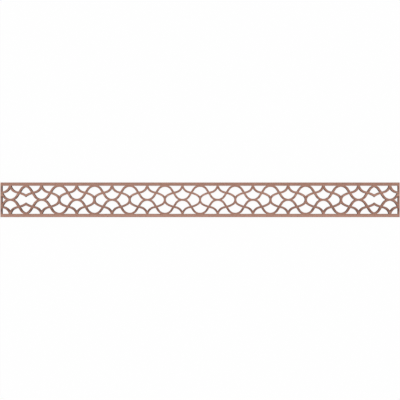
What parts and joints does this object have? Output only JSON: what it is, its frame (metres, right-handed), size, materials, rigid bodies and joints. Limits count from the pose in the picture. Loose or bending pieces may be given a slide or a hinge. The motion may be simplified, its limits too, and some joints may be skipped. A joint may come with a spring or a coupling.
{
  "type": "fretwork moulding",
  "caption": "Flat wooden strip pierced by an interlaced fret of waves and ogees between plain rails.",
  "frame": {"origin": "middle of the flat back", "axes": "+X along the strip, +Y across it, +Z out of the show face"},
  "size_m": [1.1874, 0.103, 0.0063],
  "materials": {
    "wood": "unfinished, sanded"
  },
  "bodies": {
    "root": {"fretwork_strip": "wood"}
  },
  "joints": []
}
